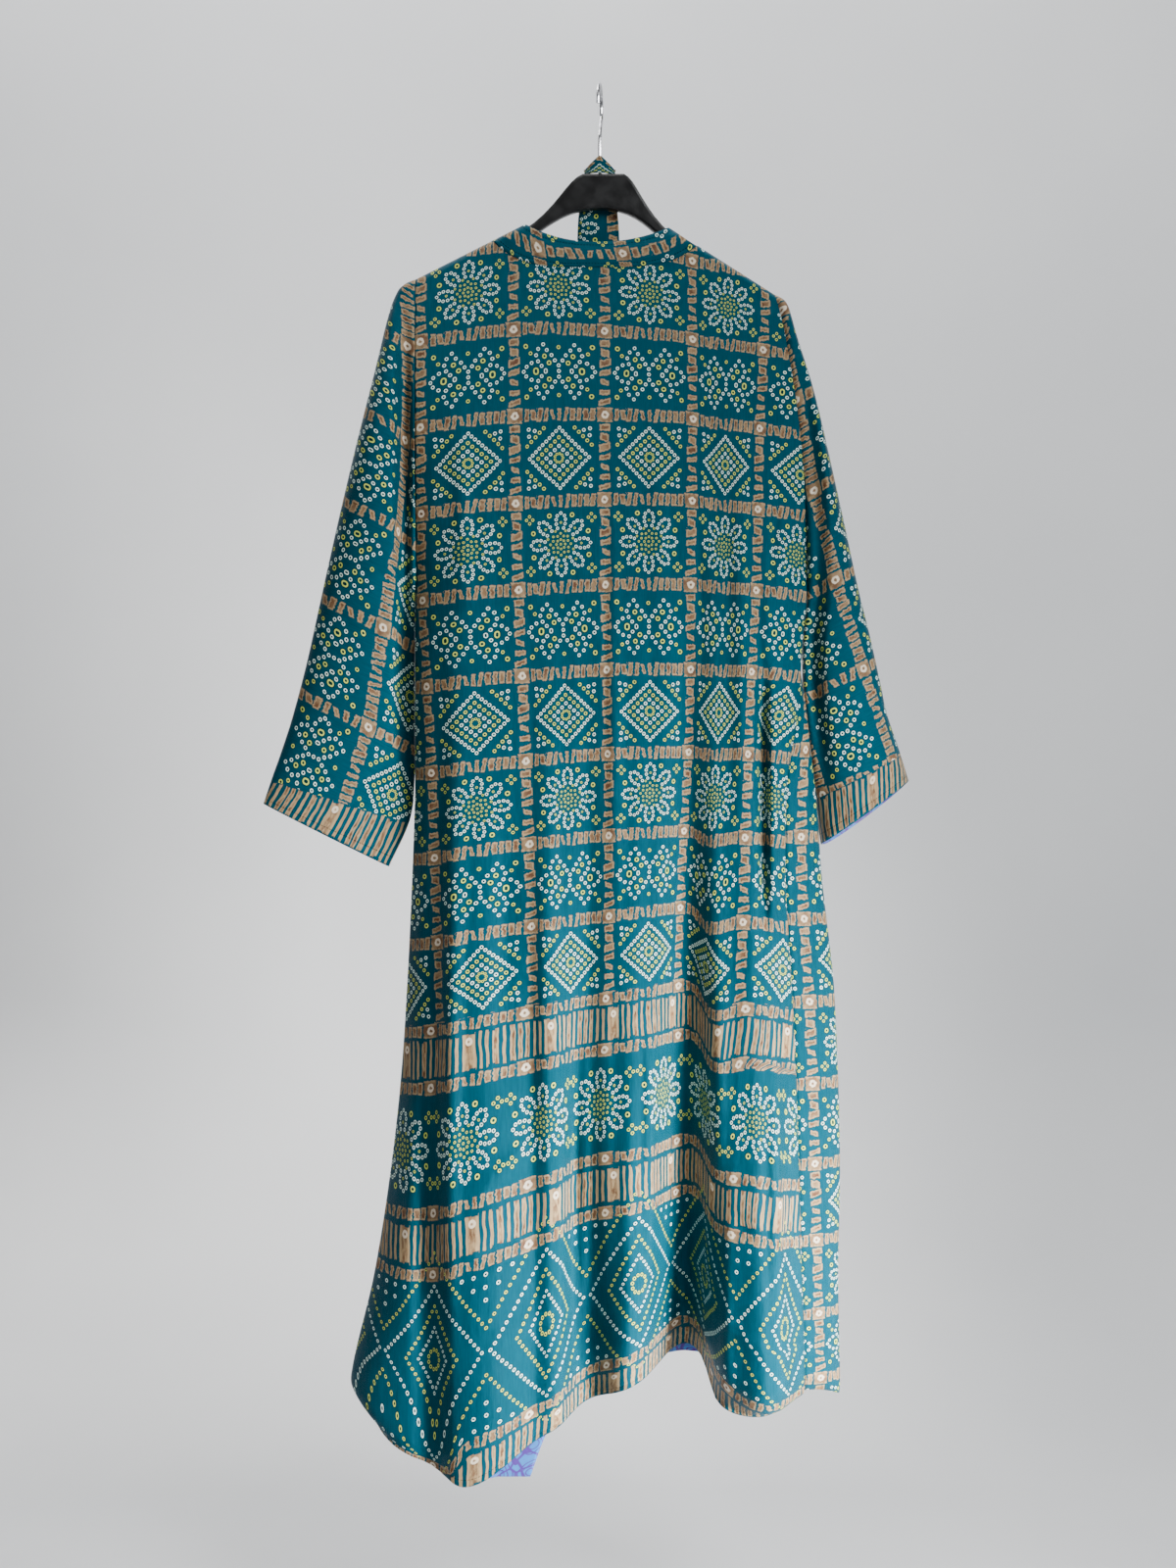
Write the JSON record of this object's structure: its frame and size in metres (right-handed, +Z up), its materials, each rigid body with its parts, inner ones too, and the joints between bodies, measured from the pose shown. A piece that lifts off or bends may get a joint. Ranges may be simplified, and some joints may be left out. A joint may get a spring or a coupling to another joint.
{
  "type": "kimono robe on a clothes hanger",
  "caption": "Long straight kimono robe with wide sleeves, a neck band and a tie belt, draped on a flat hanger with a wire hook.",
  "frame": {"origin": "the inside top of the hook, where a rod carries it, in the hanger's middle plane", "axes": "+Z up, the back of the garment faces -Y and the fronts face +Y, +X is to the right of the back as it is seen"},
  "size_m": [0.6976, 0.1629, 1.5125],
  "materials": {
    "printed_silk": "soft sheen",
    "lining": "soft sheen",
    "hanger": "satin",
    "hook": "bright"
  },
  "bodies": {
    "root": {"back": "printed_silk", "front_left": "printed_silk", "front_right": "printed_silk", "sleeve_left": "printed_silk", "sleeve_right": "printed_silk", "neck_band": "printed_silk", "belt": "printed_silk", "lining_front_left": "lining", "lining_sleeve_right": "lining", "hanger": "hanger", "hook": "hook"}
  },
  "joints": []
}
